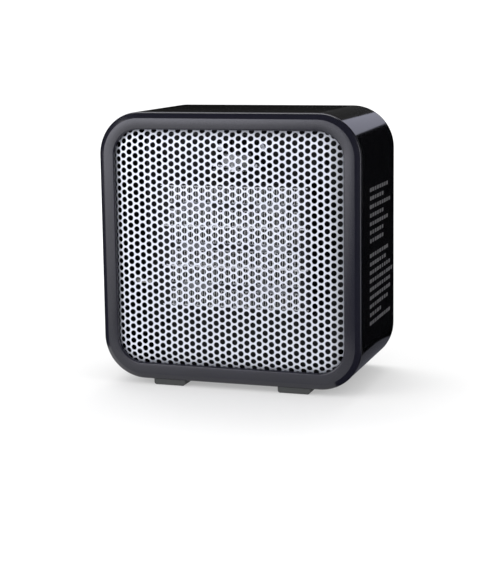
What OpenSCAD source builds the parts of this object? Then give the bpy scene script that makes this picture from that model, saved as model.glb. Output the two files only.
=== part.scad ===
// Compact ceramic space heater: a glossy tub-shaped rear shell, a front bezel that frames a perforated
// steel grille, and behind it a PTC ceramic element in an air duct with an axial fan and its motor.
// +Z is up, the front faces -Y, and the origin is under the middle of the body, at the feet's soles.

/* [Body] */
// Width of the body, side to side
body_w = 147; // [140:1:190]
// Height of the body, without its feet
body_h = 147; // [140:1:190]
// Depth of the body, from the bezel's face to the rear wall
body_d = 83; // [82:1:110]
// Radius of the body's four upright corners, seen from the front
corner_r = 23.5; // [20:0.5:28]
// Wall of the rear shell
shell_t = 2.4; // [2:0.1:3]
// Rounding of the rear shell's back edge
rear_round = 7; // [4:0.5:10]

/* [Feet] */
// Height of the feet
foot_h = 3.2; // [2:0.2:8]
// Width of each foot
foot_w = 18; // [12:1:26]
// Length of each foot, front to back
foot_l = 12; // [9:1:16]
// Distance of each foot's centre from the middle plane
foot_x = 35.7; // [30:0.1:44]
// Distance from the rear wall to the rear feet
rear_foot_inset = 9; // [7:1:20]
// Diameter of the peg that holds a foot in the floor
foot_peg_d = 5; // [3:0.5:8]

/* [Bezel] */
// Thickness of the bezel's face
lip_t = 2.8; // [2.4:0.1:4]
// Width of the bezel's face, from the body's side to the opening
lip_w = 9.3; // [8:0.1:10]
// Width of the slope at the bezel's outer edge
bezel_slope_w = 3; // [1:0.1:5]
// Depth of the slope at the bezel's outer edge
bezel_slope_d = 1.7; // [1:0.1:2.2]
// How far the bezel's edge stands in from the shell's side
bezel_step = 0.2; // [0:0.1:0.5]
// Length of the collar that plugs the bezel into the shell
spigot_l = 12.2; // [10:0.1:14]
// Wall of that collar
spigot_t = 2; // [1.6:0.1:2.4]
// Gap between the collar and the shell
spigot_gap = 0.3; // [0.1:0.05:0.5]

/* [Grille] */
// Thickness of the grille's steel sheet
grille_t = 0.8; // [0.6:0.1:1]
// Diameter of the holes in the grille
hole_d = 3; // [2:0.1:3.2]
// Distance between neighbouring holes
hole_pitch = 4; // [3.8:0.1:6]
// Distance from the bezel's face back to the grille's face
grille_recess = 0.4; // [0:0.1:1]
// Width of the grille's bent margin inside the opening
grille_margin = 8; // [6:0.5:10]
// Bending radius of the grille's margin
grille_bend_r = 15; // [13:0.5:20]
// Width of the bent margin hidden behind the bezel's lip
grille_tuck = 1.5; // [1:0.1:2]
// Width of the flat rim that holds the grille
grille_rim_w = 2.9; // [2:0.1:3]
// Diameter of the staked pins that hold the grille
stake_d = 1.6; // [1:0.1:1.8]

/* [Heating element] */
// Distance from the grille's face to the element
element_setback = 10.8; // [8:0.1:13]
// Width of the element's fins
element_w = 75.2; // [66:0.1:78]
// Height of one of the element's stacked modules
module_h = 22.1; // [19:0.1:23]
// Depth of the element
element_d = 16; // [12:0.5:18]
// Thickness of the element's outer and dividing plates
plate_t = 0.9; // [0.6:0.1:1.4]
// Height of a module's bar, with its two electrode sheets
bar_h = 4.2; // [3.6:0.1:5]
// Thickness of an electrode sheet
electrode_t = 0.4; // [0.3:0.05:0.6]
// Length of a ceramic stone
stone_l = 17; // [12:0.5:20]
// Distance between the middles of a bar's two stones
stone_spacing = 42.5; // [36:0.5:46]
// Distance from one leg of a fin to the next
fin_pitch = 1.4; // [1.2:0.1:2.4]
// Thickness of the fins' foil
fin_t = 0.3; // [0.2:0.05:0.4]
// Thickness of the element's end caps
end_cap_t = 4.2; // [3:0.2:5]

/* [Air duct] */
// Wall of the air duct
duct_t = 2; // [1.6:0.1:2.6]
// Gap between the duct's plate and the shell
duct_gap = 0.8; // [0.5:0.1:2]
// Play of the element in the duct
element_gap = 0.2; // [0.1:0.1:0.6]
// Distance from the duct's plate to the fan
fan_gap = 7; // [4:0.5:8]
// Gap between the fan's tips and the duct
tip_gap = 2; // [1.5:0.1:4]

/* [Fan] */
// Diameter of the fan
fan_d = 94; // [80:1:96]
// Length of the fan's hub
fan_l = 12; // [10:0.5:12.5]
// Diameter of the fan's hub
hub_d = 22; // [16:1:28]
// Number of blades
blade_count = 7; // [3:1:9]
// Pitch angle of the blades
blade_pitch = 27; // [20:1:30]
// Thickness of the blades
blade_t = 1.6; // [1.2:0.1:2.2]

/* [Motor] */
// Distance from the fan to the motor's front bridge
motor_gap = 3.6; // [3.4:0.1:5]
// Width of the motor's lamination stack
stack_w = 60; // [56:1:64]
// Thickness of the lamination stack
stack_t = 12; // [10:0.5:12.5]
// Diameter of the rotor
rotor_d = 24.4; // [20:0.1:25]
// Air gap around the rotor
air_gap = 0.3; // [0.2:0.05:0.6]
// Diameter of the motor's shaft
shaft_d = 4; // [3:0.1:5]
// Radial running gap between the shaft and its bearings
bearing_gap = 0.03; // [0.01:0.01:0.08]
// Diameter of the bearings
bearing_d = 10; // [8:0.5:11]
// Length of the bearings
bearing_l = 5; // [4:0.5:5]
// Depth of each motor bridge
bridge_d = 6; // [6:0.1:6.5]
// Distance of the motor's screws from the shaft
motor_screw_x = 24; // [22:0.5:25]

/* [Power switch] */
// Height of the power switch above the fan's axis
switch_z = 56; // [54:0.5:60]
// Width of the switch's flange
switch_w = 22; // [22:1:28]
// Height of the switch's flange
switch_h = 15; // [14:0.5:17]
// Depth of the recess that the switch sits in
well_d = 5.6; // [5.5:0.1:8]
// Tilt of the rocker to each side
rocker_tilt = 10; // [6:1:10]
// Radial running gap at the rocker's pins
pin_gap = 0.05; // [0.02:0.01:0.1]

/* [Tip-over switch] */
// Travel of the plunger below the soles
plunger_travel = 3.5; // [2:0.1:3.5]
// Diameter of the plunger
plunger_d = 6; // [5:0.5:7]
// Radial running gap around the plunger
plunger_gap = 0.06; // [0.03:0.01:0.1]
// Height of the tip-over switch's case
tip_case_h = 16.5; // [16:0.5:19]

/* [Rear wall] */
// Diameter of the round field of intake slots
intake_d = 86; // [60:1:88]
// Height of an intake slot
slot_h = 3.2; // [2:0.1:3.6]
// Distance from one row of slots to the next
slot_pitch = 6.2; // [5:0.1:8]
// Bore of the cord gland
gland_bore = 6.6; // [5:0.1:8]
// Distance of the cord gland from the middle plane
gland_x = 30; // [24:0.5:32]
// Distance of the cord gland below the fan's axis
gland_drop = 56; // [54:0.5:57]

/* [Fasteners] */
// Diameter of the housing screws
housing_screw_d = 3.5; // [3:0.1:4]
// Distance of the housing screws from the body's side
housing_screw_inset = 15; // [14.5:0.1:16]
// Diameter of the duct screws
duct_screw_d = 3; // [2.5:0.1:3.5]
// Distance of the duct screws from the fan's axis, across and up
duct_screw_x = 46; // [44:0.5:47]
// Diameter of the motor screws
motor_screw_d = 4; // [3:0.1:4]
// Radial gap around a screw in the hole that it is driven into
thread_gap = 0.02; // [0:0.01:0.05]
// Radial gap around a screw in the hole that it passes through
pass_gap = 0.2; // [0.1:0.05:0.3]

/* [Hidden] */
$fn = 64;

// Stations along the depth
front_y = -body_d / 2;
back_y = body_d / 2;
seam_y = front_y + lip_t;
spigot_y = seam_y + spigot_l;
grille_y = front_y + grille_recess;
element_y0 = grille_y + element_setback;
element_y1 = element_y0 + element_d;
plate_y1 = element_y1 + duct_t;
fan_y0 = plate_y1 + fan_gap;
fan_y1 = fan_y0 + fan_l;
ring_y1 = fan_y1 + 2;
bridge_y0 = fan_y1 + motor_gap;
stack_y0 = bridge_y0 + bridge_d;
stack_y1 = stack_y0 + stack_t;
bridge_y1 = stack_y1 + bridge_d;
wall_y = back_y - shell_t;
well_y = back_y - well_d;

// Heights
axis_z = foot_h + body_h / 2;
floor_z = foot_h + shell_t;

// Bezel and grille, measured outwards from the corners' centres
corner_x = body_w / 2 - corner_r;
lip_r = corner_r - lip_w;
spigot_r = corner_r - shell_t - spigot_gap;
bend_r0 = lip_r - grille_margin;
bend_r1 = lip_r + grille_tuck;
bend_angle = acos((bend_r1 - bend_r0) / grille_bend_r);
rim_depth = grille_recess + grille_bend_r * (1 - sin(bend_angle));
rim_r = bend_r1 + grille_rim_w;
stake_r = bend_r1 + grille_rim_w * 0.6;
stake_step = corner_x * 0.72;
stake_head_t = 0.6;
stake_head_d = stake_d + 0.7;

// Element
MODULES = 3;
element_h = MODULES * module_h;
fin_h = (module_h - plate_t - bar_h) / 2;
caps_w = element_w + 2 * end_cap_t;
collar_w = caps_w + 2 * (element_gap + duct_t);
collar_h = element_h + 2 * (element_gap + duct_t);
terminal_l = 9;
terminal_w = 6.3;
terminal_t = 0.8;
tab_hole_d = 1.6;

// Rating label under the floor
label_w = 48;
label_t = 0.15;
label_y = 9;
label_l = body_d / 2 - 21;

// Fasteners
housing_x = body_w / 2 - housing_screw_inset;
housing_z = body_h / 2 - housing_screw_inset;
post_d = 8;
boss_d = 10;
standoff_d = 8;
housing_seat_y = 9;
housing_split_y = 4;
housing_screw_l = 16;
housing_head_d = 6.6;
duct_screw_l = 12;
duct_head_d = 5.6;
motor_head_d = 6.6;
head_h = 2.2;
screw_depth = 6;
web_t = 2;
web_r0 = sqrt(2) * (corner_r - housing_screw_inset) + 3;
rib_half = standoff_d / 2 + 1.5;

// Motor
strap_t = 2.5;
strap_w = 10;
bridge_leg_w = 9;
motor_y = (stack_y0 + stack_y1) / 2;
washer_t = 1;
end_play = 0.1;
rotor_over = 0.5;
stack_top = 17;
window_top = -17;
window_bottom = -37;
core_h = 10;
limb_w = 10;
core_z = window_bottom - core_h / 2;
bobbin_t = 1.2;
bobbin_gap = 0.2;
coil_ty = 3.2;
coil_tz = 8;
shading_r = 15.6;
shading_d = 2.2;

// Power switch
sleeve_w = 19.2;
sleeve_h = 12.8;
sleeve_l = 12;
flange_t = 1.6;
cutout_gap = 0.1;
well_margin = 1.5;
rocker_half_w = 7.8;
rocker_half_h = 5;
rocker_pin_d = 2;
pivot_y = well_y + 0.1;
rocker_room = 4.5;
switch_tab_l = 8;
switch_pin_y = well_y - sleeve_l - switch_tab_l;

// Thermostat
therm_y = element_y1 - 8.7;
therm_z = 43.5;
therm_d = 16.4;
therm_body_d = 15.4;
therm_body_h = 6;
therm_flange_t = 0.8;
therm_cup_d = 12.6;
therm_cup_l = 2.5;
therm_tab_x = 4;
therm_tab_l = 8;
ear_w = 6.4;
rivet_d = 3;
rivet_head_d = 4.6;
rivet_head_t = 0.8;
wall_rivet_d = 2;
wall_rivet_head_d = 3.6;
ear_x = 12;
bracket_t = 1;
wall_rivet_z = fan_d / 2 + tip_gap + duct_t + 2.2;

// Tip-over switch
tip_w = 22;
tip_l = 13;
tip_base_t = 2;
tip_roof_t = 3;
tip_collar_d = 9;
tip_collar_t = 1.6;
tip_stem_d = 3;
tip_cavity_d = 9.6;
tip_ear_x = 15;
tip_screw_d = 2.5;
tip_tab_l = 7;
tip_tab_t = 0.8;
tip_tab_z = floor_z + 10.4;
tip_duct_gap = 2.2;
tip_y = ring_y1 - tip_l / 2 - tip_duct_gap;
collar_z = floor_z + tip_base_t + 0.2 + plunger_travel;
roof_z = floor_z + tip_case_h - tip_roof_t;

// Cord gland
gland_wall = 2;
gland_flange_d = 13;
gland_flange_t = 2;
gland_sink = 0.2;
gland_seat = gland_flange_t + gland_sink;
gland_pad_d = 20;
gland_pad_t = 2.6;
gland_tail = 6;

// Fuse and inner leads
fuse_x = collar_w / 2 + 5.5;
fuse_d = 5;
fuse_reach = 16;
lead_d = 2;
lead_pair = 1.1;
inlet_y = wall_y - gland_tail - 5;
switch_pin_x = 6;
fuse_lead_x = 36;
tip_lead_x = 30;
neutral_turn_x = 40;
neutral_y = ring_y1 + 0.3;
lead_rise = 2.5;
coil_lead_z = core_z + 5.3;
lead_y = stack_y0 - 2.3;
lead_side_x = body_w / 2 - shell_t - 4.1;
lead_hole_x = housing_x + 3.5;
lead_low_z = axis_z - duct_screw_x - 5.7;
lead_high_z = axis_z + duct_screw_x + 5.7;
terminal_x = -caps_w / 2 - terminal_l;
terminal_drop_x = terminal_x - lead_d * 0.6;
element_mid_y = element_y0 + element_d / 2;
therm_top_z = axis_z + therm_z + therm_flange_t + therm_body_h + therm_tab_l;

// Places things on the fan's axis
module on_axis() {
    translate([0, 0, axis_z]) children();
}

// Extrudes an outline drawn in X and Z from one depth to another
module slab(y0, y1) {
    translate([0, y1, 0])
        rotate([90, 0, 0])
            linear_extrude(y1 - y0) children();
}

// A round bar along Y at a place in X and Z
module bar(x, z, y0, y1, d) {
    translate([x, y0, z])
        rotate([-90, 0, 0])
            cylinder(h = y1 - y0, d = d);
}

// Outline with true round corners
module rounded(w, h, r) {
    square([w - 2 * r, h], center = true);
    square([w, h - 2 * r], center = true);
    for (sx = [-1, 1])
        for (sz = [-1, 1])
            translate([sx * (w / 2 - r), sz * (h / 2 - r)]) circle(r);
}

// Outline with round ends, lying along X
module slot_outline(length, width) {
    square([length - width, width], center = true);
    for (side = [-1, 1])
        translate([side * (length - width) / 2, 0]) circle(d = width);
}

// Sweeps a profile round the body: x runs outwards from the corners' centres, y runs back from the face
module sweep_round() {
    span_x = body_w - 2 * corner_r;
    span_z = body_h - 2 * corner_r;
    translate([0, front_y, axis_z])
        rotate([-90, 0, 0])
            for (turn = [0 : 3]) {
                across = turn % 2 == 0 ? span_x : span_z;
                along = turn % 2 == 0 ? span_z : span_x;
                rotate([0, 0, 90 * turn])
                    translate([across / 2, along / 2, 0])
                        rotate_extrude(angle = 90) children();
                rotate([0, 0, 90 * turn])
                    translate([across / 2, 0, 0])
                        rotate([90, 0, 0])
                            linear_extrude(along, center = true) children();
            }
}

// Repeats a thing at four places round the axis
module at_four(x, z) {
    for (sx = [-1, 1])
        for (sz = [-1, 1])
            translate([sx * x, 0, axis_z + sz * z]) children();
}

// Webs along the diagonals of the four corners, between two distances from the corners' centres
module corner_webs(r0, r1, y0, y1) {
    for (sx = [-1, 1])
        for (sz = [-1, 1])
            translate([sx * corner_x, 0, axis_z + sz * (body_h / 2 - corner_r)])
                rotate([0, sx * sz > 0 ? -45 : 45, 0])
                    translate([sx > 0 ? r0 : -r1, y0, -web_t / 2])
                        cube([r1 - r0, y1 - y0, web_t]);
}

// A pan-head screw along Y, its head's seat at y = 0 and its shank running towards +Y
module screw(d, length, head) {
    difference() {
        union() {
            bar(0, 0, -head_h, 0, head);
            bar(0, 0, 0, length, d);
        }
        for (turn = [0, 90])
            rotate([0, turn, 0])
                translate([-head * 0.3, -head_h - 1, -0.35])
                    cube([head * 0.6, 2.2, 0.7]);
    }
}

// ---------------------------------------------------------------- casing

// Wall, rounded back edge and rim of the back wall
module shell_profile() {
    difference() {
        shell_outline(corner_r, body_d, rear_round);
        shell_outline(corner_r - shell_t, body_d - shell_t, rear_round - shell_t);
        square([corner_r, lip_t]);
    }
}

module shell_outline(reach, depth, radius) {
    square([reach - radius, depth]);
    square([reach, depth - radius]);
    translate([reach - radius, depth - radius]) circle(radius);
}

module intake_slots() {
    rows = floor((intake_d / 2 - slot_h) / slot_pitch);
    rib_in = motor_screw_x - rib_half;
    rib_out = motor_screw_x + rib_half;
    for (row = [-rows : rows]) {
        z = row * slot_pitch;
        chord = sqrt(pow(intake_d / 2, 2) - z * z);
        middle = min(rib_in, chord);
        translate([0, z]) slot_outline(2 * middle, slot_h);
        if (chord - rib_out > 2 * slot_h)
            for (side = [-1, 1])
                translate([side * (rib_out + chord) / 2, z]) slot_outline(chord - rib_out, slot_h);
    }
}

module rear_shell() {
    well_w = switch_w + 2 * well_margin;
    well_h = switch_h + 2 * well_margin;
    color("#121214")
    difference() {
        union() {
            sweep_round() shell_profile();
            on_axis() slab(wall_y, back_y)
                square([body_w - 2 * corner_r + 1, body_h - 2 * corner_r + 1], center = true);
            // bosses of the housing screws, each with a web to its corner
            at_four(housing_x, housing_z) bar(0, 0, housing_split_y, wall_y + 1, boss_d);
            corner_webs(web_r0, corner_r - shell_t + 0.2, housing_split_y + 4, wall_y + 1);
            // standoffs of the air duct
            at_four(duct_screw_x, duct_screw_x) bar(0, 0, plate_y1, wall_y + 1, standoff_d);
            // posts of the motor
            for (side = [-1, 1]) bar(side * motor_screw_x, axis_z, bridge_y1, wall_y + 1, standoff_d);
            // box of the switch recess
            on_axis() translate([0, 0, switch_z]) slab(well_y - shell_t, wall_y + 1)
                square([well_w + 2 * shell_t, well_h + 2 * shell_t], center = true);
            // backing of the cord gland
            bar(gland_x, axis_z - gland_drop, wall_y - gland_pad_t, wall_y + 1, gland_pad_d);
        }
        on_axis() slab(wall_y - 1, back_y + 1) intake_slots();
        on_axis() translate([0, 0, switch_z]) {
            slab(well_y, back_y + 1) square([well_w, well_h], center = true);
            slab(well_y - shell_t - 1, well_y + 1)
                square([sleeve_w + 2 * cutout_gap, sleeve_h + 2 * cutout_gap], center = true);
        }
        at_four(housing_x, housing_z) {
            bar(0, 0, housing_seat_y, back_y + 1, housing_head_d + 0.6);
            bar(0, 0, housing_split_y - 1, back_y, housing_screw_d + 2 * pass_gap);
        }
        at_four(duct_screw_x, duct_screw_x)
            bar(0, 0, plate_y1 - 1, plate_y1 + duct_screw_l, duct_screw_d + 2 * thread_gap);
        for (side = [-1, 1])
            bar(side * motor_screw_x, axis_z, bridge_y1 - 1, bridge_y1 + screw_depth - 0.2,
                motor_screw_d + 2 * thread_gap);
        bar(gland_x, axis_z - gland_drop, back_y - gland_seat, back_y + 1, gland_flange_d + 1);
        bar(gland_x, axis_z - gland_drop, wall_y - gland_pad_t - 1, back_y + 1, gland_bore + 2 * gland_wall);
        for (side = [-1, 1])
            for (y = [front_foot_y(), rear_foot_y()])
                translate([side * foot_x, y, foot_h - 1]) cylinder(h = shell_t + 2, d = foot_peg_d);
        translate([0, tip_y, foot_h - 1]) cylinder(h = shell_t + 2, d = plunger_d + 1);
        for (side = [-1, 1])
            translate([side * tip_ear_x, tip_y, foot_h + 0.6])
                cylinder(h = shell_t, d = tip_screw_d + 2 * thread_gap);
    }
}

function front_foot_y() = seam_y + foot_l / 2;
function rear_foot_y() = back_y - rear_foot_inset - foot_l / 2;

// Face, sloped outer edge and plug-in collar of the bezel
module bezel_profile() {
    edge = corner_r - bezel_step;
    soft = 0.8;
    lip_relief = 0.7;
    polygon([
        [lip_r + soft, 0], [edge - bezel_slope_w, 0], [edge - 0.3, bezel_slope_d],
        [edge, bezel_slope_d + 0.4], [edge, lip_t], [lip_r + lip_relief, lip_t],
        [lip_r, lip_t - lip_relief], [lip_r, soft]
    ]);
    translate([lip_r + soft, soft]) circle(soft);
    translate([spigot_r - spigot_t, lip_t - 0.5]) square([spigot_t, spigot_l + 0.5]);
}

module front_bezel() {
    post_y0 = front_y + rim_depth + grille_t + 1;
    color("#4b4b50")
    difference() {
        union() {
            sweep_round() bezel_profile();
            grille_stakes();
            at_four(housing_x, housing_z) bar(0, 0, post_y0, housing_split_y, post_d);
            corner_webs(web_r0 - 1, spigot_r - 1, post_y0, spigot_y);
        }
        at_four(housing_x, housing_z)
            bar(0, 0, housing_seat_y - housing_screw_l - 1, housing_split_y + 1,
                housing_screw_d + 2 * thread_gap);
    }
}

// Staked pins along the four sides, with the rivet heads that hold the grille's rim
module grille_stakes(extra = 0) {
    reach = body_w / 2 - corner_r + stake_r;
    rise = body_h / 2 - corner_r + stake_r;
    rim_y = front_y + rim_depth + grille_t;
    for (side = [-1, 1])
        for (step = [-1, 0, 1]) {
            along = step * stake_step;
            bar(side * reach, axis_z + along, seam_y - 0.5, rim_y + 0.5, stake_d + extra);
            bar(along, axis_z + side * rise, seam_y - 0.5, rim_y + 0.5, stake_d + extra);
            if (extra == 0) {
                bar(side * reach, axis_z + along, rim_y, rim_y + stake_head_t, stake_head_d);
                bar(along, axis_z + side * rise, rim_y, rim_y + stake_head_t, stake_head_d);
            }
        }
}

// Bent margin and flat rim of the grille
module grille_profile() {
    back = grille_recess + grille_bend_r;
    ray_x = 2 * grille_bend_r * cos(bend_angle);
    ray_y = 2 * grille_bend_r * sin(bend_angle);
    intersection() {
        translate([bend_r0, back]) difference() {
            circle(grille_bend_r);
            circle(grille_bend_r - grille_t);
        }
        translate([bend_r0, 0]) polygon([
            [0, back], [0, back - ray_y], [ray_x, back - ray_y]
        ]);
    }
    translate([bend_r1 - grille_t, rim_depth]) square([rim_r - bend_r1 + grille_t, grille_t]);
}

module front_grille() {
    flat_w = body_w - 2 * corner_r + 2 * bend_r0;
    flat_h = body_h - 2 * corner_r + 2 * bend_r0;
    column_pitch = hole_pitch * sqrt(3) / 2;
    columns = floor((flat_w / 2 - hole_d / 2) / column_pitch);
    rows = floor((flat_h / 2 - hole_d / 2) / hole_pitch);
    color("silver")
    difference() {
        union() {
            sweep_round() grille_profile();
            on_axis() slab(grille_y, grille_y + grille_t) difference() {
                rounded(flat_w, flat_h, bend_r0);
                for (c = [-columns : columns])
                    for (r = [-rows : rows - (c % 2 == 0 ? 0 : 1)])
                        translate([c * column_pitch, (r + (c % 2 == 0 ? 0 : 0.5)) * hole_pitch])
                            circle(d = hole_d, $fn = 24);
            }
        }
        grille_stakes(0.2);
    }
}

// A foot with softened bottom edges and the peg that holds it in the floor
module foot(x, y) {
    soft = min(1.4, foot_h * 0.45);
    translate([x, y, 0]) {
        translate([0, foot_l / 2, 0]) rotate([90, 0, 0]) linear_extrude(foot_l) {
            translate([-foot_w / 2, soft]) square([foot_w, foot_h - soft]);
            translate([-foot_w / 2 + soft, 0]) square([foot_w - 2 * soft, foot_h]);
            for (side = [-1, 1]) translate([side * (foot_w / 2 - soft), soft]) circle(soft);
        }
        translate([0, 0, foot_h - 0.5]) cylinder(h = shell_t + 0.5, d = foot_peg_d);
    }
}

module front_feet() {
    color("#3c3f3e")
        for (side = [-1, 1]) foot(side * foot_x, front_foot_y());
}

module rear_feet() {
    color("#3c3f3e")
        for (side = [-1, 1]) foot(side * foot_x, rear_foot_y());
}

module rating_label() {
    color("#b9bcc0")
        translate([-label_w / 2, label_y, foot_h - label_t]) cube([label_w, label_l, label_t]);
}

// ---------------------------------------------------------------- air duct and heating element

// Plate, collar round the element and ring round the fan, moulded in one
module air_duct() {
    ring_d = fan_d + 2 * tip_gap;
    plate_w = body_w - 2 * (shell_t + duct_gap);
    plate_h = body_h - 2 * (shell_t + duct_gap);
    color("#1b1b1d")
    difference() {
        union() {
            on_axis() {
                slab(element_y1, plate_y1) rounded(plate_w, plate_h, corner_r - shell_t - duct_gap);
                slab(element_y0, element_y1 + 0.5) square([collar_w, collar_h], center = true);
                bar(0, 0, plate_y1 - 0.5, ring_y1, ring_d + 2 * duct_t);
                // snap tabs in front of the end caps
                for (sx = [-1, 1])
                    for (sz = [-1, 1])
                        translate([sx * (collar_w / 2 - 2), element_y0 - 0.75, sz * element_h / 4])
                            cube([4, 1.5, 9], center = true);
            }
        }
        on_axis() {
            slab(element_y0 - 0.01, element_y1)
                square([caps_w + 2 * element_gap, element_h + 2 * element_gap], center = true);
            slab(element_y1 - 1, plate_y1 + 1)
                square([element_w - 1, element_h - 2 * plate_t], center = true);
            bar(0, 0, plate_y1, ring_y1 + 1, ring_d);
            for (m = [0 : MODULES - 1])
                translate([-collar_w / 2 - 1, element_y0 + element_d / 2 - 3.6, module_z(m) - 0.7])
                    cube([duct_t + 2, 7.2, 1.4]);
        }
        at_four(housing_x, housing_z) bar(0, 0, element_y1 - 1, plate_y1 + 1, post_d + 1.6);
        at_four(duct_screw_x, duct_screw_x)
            bar(0, 0, element_y1 - 1, plate_y1 + 1, duct_screw_d + 2 * pass_gap);
        for (side = [-1, 1]) {
            bar(side * ear_x, axis_z + wall_rivet_z, element_y1 - 1, plate_y1 + 1, wall_rivet_d);
            bar(side * lead_hole_x, axis_z - module_h, element_y1 - 1, plate_y1 + 1, lead_d + 2);
        }
    }
}

// Height of a module's middle above the axis
function module_z(m) = (m - (MODULES - 1) / 2) * module_h;

// A folded foil: legs a pitch apart, joined in turn at the top and the bottom
module fin_strip() {
    legs = floor((element_w - fin_t) / fin_pitch);
    start = -legs * fin_pitch / 2;
    for (i = [0 : legs])
        translate([start + i * fin_pitch - fin_t / 2, 0]) square([fin_t, fin_h]);
    for (i = [0 : legs - 1])
        translate([start + i * fin_pitch - fin_t / 2, i % 2 == 0 ? 0 : fin_h - fin_t])
            square([fin_pitch + fin_t, fin_t]);
}

module element_fins() {
    color("#c4c8cc")
        on_axis() slab(element_y0 + 0.4, element_y1 - 0.4)
            for (m = [0 : MODULES - 1]) {
                translate([0, module_z(m) + bar_h / 2]) fin_strip();
                translate([0, module_z(m) - bar_h / 2 - fin_h]) fin_strip();
            }
}

module element_plates() {
    color("#d5d8db")
        on_axis() for (k = [0 : MODULES]) {
            edge = k == 0 ? plate_t / 4 : k == MODULES ? -plate_t / 4 : 0;
            thick = k == 0 || k == MODULES ? plate_t / 2 : plate_t;
            translate([0, 0, (k - MODULES / 2) * module_h + edge]) slab(element_y0, element_y1)
                square([caps_w, thick], center = true);
        }
}

module electrode_sheets() {
    color("#a9adb2")
        on_axis() for (m = [0 : MODULES - 1])
            for (side = [-1, 1])
                translate([0, 0, module_z(m) + side * (bar_h - electrode_t) / 2])
                    slab(element_y0 + 0.4, element_y1 - 0.4)
                        square([element_w, electrode_t], center = true);
}

module ceramic_stones() {
    color("#8f9297")
        on_axis() for (m = [0 : MODULES - 1])
            for (side = [-1, 1])
                translate([side * stone_spacing / 2, 0, module_z(m)])
                    slab(element_y0 + 0.8, element_y1 - 0.8)
                        square([stone_l, bar_h - 2 * electrode_t], center = true);
}

// Insulating spacers that keep the stones apart
module stone_carriers() {
    inner = stone_spacing / 2 - stone_l / 2;
    outer = stone_spacing / 2 + stone_l / 2;
    height = bar_h - 2 * electrode_t;
    color("#1a1a1c")
        on_axis() for (m = [0 : MODULES - 1])
            translate([0, 0, module_z(m)]) slab(element_y0 + 1.4, element_y1 - 1.4) {
                square([2 * inner, height], center = true);
                for (side = [-1, 1])
                    translate([side * (outer + element_w / 2) / 2, 0])
                        square([element_w / 2 - outer, height], center = true);
            }
}

module element_end_caps() {
    color("#202022")
        on_axis() for (m = [0 : MODULES - 1])
            for (side = [-1, 1])
                difference() {
                    translate([side * (element_w + end_cap_t) / 2, 0, module_z(m)])
                        slab(element_y0, element_y1)
                            square([end_cap_t, module_h - plate_t], center = true);
                    translate([-element_w / 2 - end_cap_t - 1, element_y0 + element_d / 2 - terminal_w / 2,
                        module_z(m) - terminal_t / 2])
                        cube([end_cap_t + 2, terminal_w, terminal_t]);
                }
}

module element_terminals() {
    x0 = -caps_w / 2 - terminal_l;
    color("#c9b37a")
        on_axis() for (m = [0 : MODULES - 1])
            difference() {
                translate([x0, element_y0 + element_d / 2 - terminal_w / 2, module_z(m) - terminal_t / 2])
                    cube([terminal_l + end_cap_t, terminal_w, terminal_t]);
                translate([x0 + 3, element_y0 + element_d / 2, module_z(m) - 1]) cylinder(h = 2, d = tab_hole_d);
            }
}

// ---------------------------------------------------------------- thermostat and fuse

module thermostat_cap() {
    color("#cfd2d5")
        translate([0, therm_y, axis_z + therm_z])
            difference() {
                union() {
                    translate([0, 0, -therm_cup_l]) cylinder(h = therm_cup_l + 0.5, d = therm_cup_d);
                    cylinder(h = therm_flange_t, d = therm_d);
                    linear_extrude(therm_flange_t) slot_outline(2 * ear_x + ear_w, ear_w);
                }
                for (side = [-1, 1])
                    translate([side * ear_x, 0, -1]) cylinder(h = 3, d = rivet_d);
            }
}

module thermostat_body() {
    color("#26262a")
        translate([0, therm_y, axis_z + therm_z + therm_flange_t])
            cylinder(h = therm_body_h, d = therm_body_d);
}

module thermostat_tabs() {
    color("#c9b37a")
        for (side = [-1, 1])
            translate([side * therm_tab_x - terminal_t / 2, therm_y - terminal_w / 2, therm_top_z - therm_tab_l])
                cube([terminal_t, terminal_w, therm_tab_l]);
}

// Angle that carries the thermostat in the warm air above the element
module thermostat_bracket() {
    reach = element_y1 - therm_y + 6;
    low_z = axis_z + therm_z - bracket_t;
    leg_w = 6;
    color("#9fa3a8")
        difference() {
            union() {
                translate([-ear_x - 5, element_y1 - reach, low_z]) cube([2 * ear_x + 10, reach, bracket_t]);
                for (side = [-1, 1])
                    translate([side * ear_x - leg_w / 2, element_y1 - bracket_t, low_z])
                        cube([leg_w, bracket_t, axis_z + wall_rivet_z + 3 - low_z]);
            }
            translate([0, therm_y, low_z - 1]) cylinder(h = 3, d = therm_cup_d + 0.6);
            for (side = [-1, 1]) {
                translate([side * ear_x, therm_y, low_z - 1]) cylinder(h = 3, d = rivet_d);
                bar(side * ear_x, axis_z + wall_rivet_z, element_y1 - 2, element_y1 + 1, wall_rivet_d);
            }
        }
}

// Two rivets through the thermostat's ears and two that hold the angle to the duct
module thermostat_rivets() {
    color("#b8bcc0")
        for (side = [-1, 1]) {
            translate([side * ear_x, therm_y, axis_z + therm_z - bracket_t - rivet_head_t]) {
                cylinder(h = bracket_t + therm_flange_t + 2 * rivet_head_t, d = rivet_d);
                cylinder(h = rivet_head_t, d = rivet_head_d);
                translate([0, 0, bracket_t + therm_flange_t + rivet_head_t])
                    cylinder(h = rivet_head_t, d = rivet_head_d);
            }
            translate([side * ear_x, 0, axis_z + wall_rivet_z]) {
                front = element_y1 - bracket_t;
                bar(0, 0, front - rivet_head_t, plate_y1 + rivet_head_t, wall_rivet_d);
                bar(0, 0, front - rivet_head_t, front, wall_rivet_head_d);
                bar(0, 0, plate_y1, plate_y1 + rivet_head_t, wall_rivet_head_d);
            }
        }
}

module thermal_fuse() {
    color("#ece9e0")
        translate([fuse_x, element_y0 + element_d / 2, axis_z - 10]) {
            cylinder(h = 20, d = fuse_d);
            translate([0, 0, -6]) cylinder(h = 32, d = 1);
        }
}

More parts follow.
